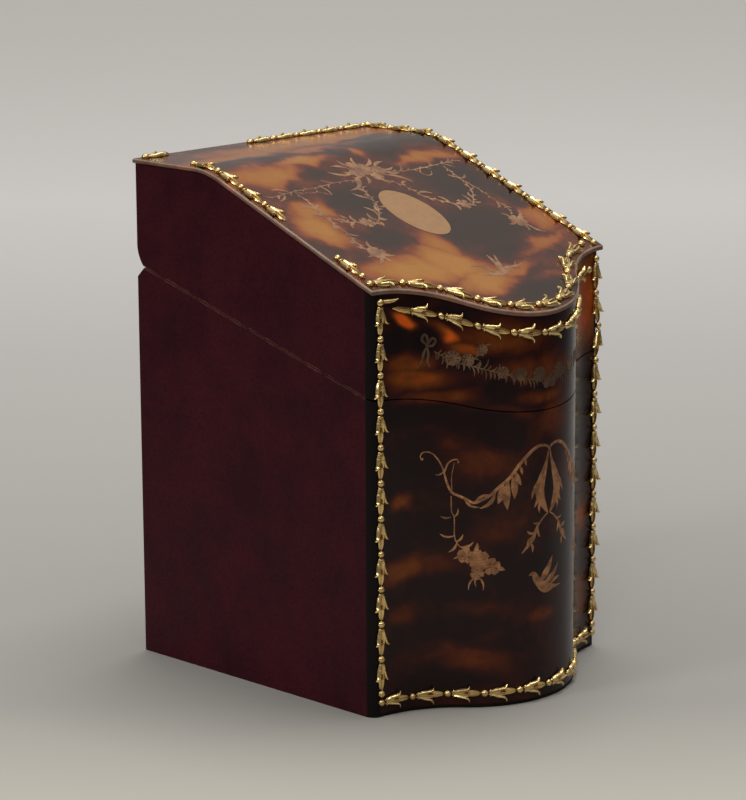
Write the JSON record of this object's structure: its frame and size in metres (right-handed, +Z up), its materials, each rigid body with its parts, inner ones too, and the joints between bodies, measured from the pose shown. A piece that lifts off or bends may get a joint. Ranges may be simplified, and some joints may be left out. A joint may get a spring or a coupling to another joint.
{
  "type": "hinged casket",
  "caption": "Small upright casket in the shape of a knife box, with a serpentine tortoiseshell front, leather sides, gilt bead-and-husk strips and a sloping lid hinged at the back.",
  "frame": {"origin": "on the underside, midway between the sides and midway between the back and the front of the bow", "axes": "+X to the right when the front is faced, the front looks towards -Y, +Z up"},
  "size_m": [0.079, 0.0962, 0.1212],
  "materials": {
    "pine_board": "matte",
    "red_leather": "satin",
    "tortoiseshell": "polished",
    "gilt_brass": "polished",
    "gold_inlay": "satin",
    "silk_lining": "satin",
    "velvet": "matte",
    "hinge_brass": "satin",
    "steel": "brushed"
  },
  "bodies": {
    "base": {"base_board_back": "pine_board", "base_board_floor": "pine_board", "base_board_front": "pine_board", "base_board_left": "pine_board", "base_board_right": "pine_board", "base_leather_back": "red_leather", "base_leather_left": "red_leather", "base_leather_right": "red_leather", "base_leather_underside": "red_leather", "base_lining_back": "silk_lining", "base_lining_front": "silk_lining", "base_lining_left": "silk_lining", "base_lining_right": "silk_lining", "base_pad": "velvet", "base_shell_front": "tortoiseshell", "base_strip_foot": "gilt_brass", "base_strip_left": "gilt_brass", "base_strip_right": "gilt_brass", "hinge_left_base_leaf": "hinge_brass", "hinge_left_pin": "steel", "hinge_right_base_leaf": "hinge_brass", "hinge_right_pin": "steel", "hinge_screws_base": "hinge_brass"},
    "lid": {"hinge_left_lid_leaf": "hinge_brass", "hinge_right_lid_leaf": "hinge_brass", "hinge_screws_lid": "hinge_brass", "lid_board_back": "pine_board", "lid_board_front": "pine_board", "lid_board_left": "pine_board", "lid_board_right": "pine_board", "lid_board_top": "pine_board", "lid_leather_back": "red_leather", "lid_leather_left": "red_leather", "lid_leather_right": "red_leather", "lid_lining_back": "silk_lining", "lid_lining_front": "silk_lining", "lid_lining_left": "silk_lining", "lid_lining_right": "silk_lining", "lid_lining_top": "silk_lining", "lid_oval_plate": "gold_inlay", "lid_shell_front": "tortoiseshell", "lid_shell_top": "tortoiseshell", "lid_strip_cornice": "gilt_brass", "lid_strip_left": "gilt_brass", "lid_strip_right": "gilt_brass", "plate_strip_back": "gilt_brass", "plate_strip_fragment": "gilt_brass", "plate_strip_front": "gilt_brass", "plate_strip_left_front": "gilt_brass", "plate_strip_left_rear": "gilt_brass", "plate_strip_right": "gilt_brass"}
  },
  "joints": [
    {"name": "lid_hinge", "type": "hinge", "parent": "base", "child": "lid", "pos_m": [0, 0.04525, 0.0945], "axis": [-1, 0, 0], "range_deg": [0, 105]}
  ]
}
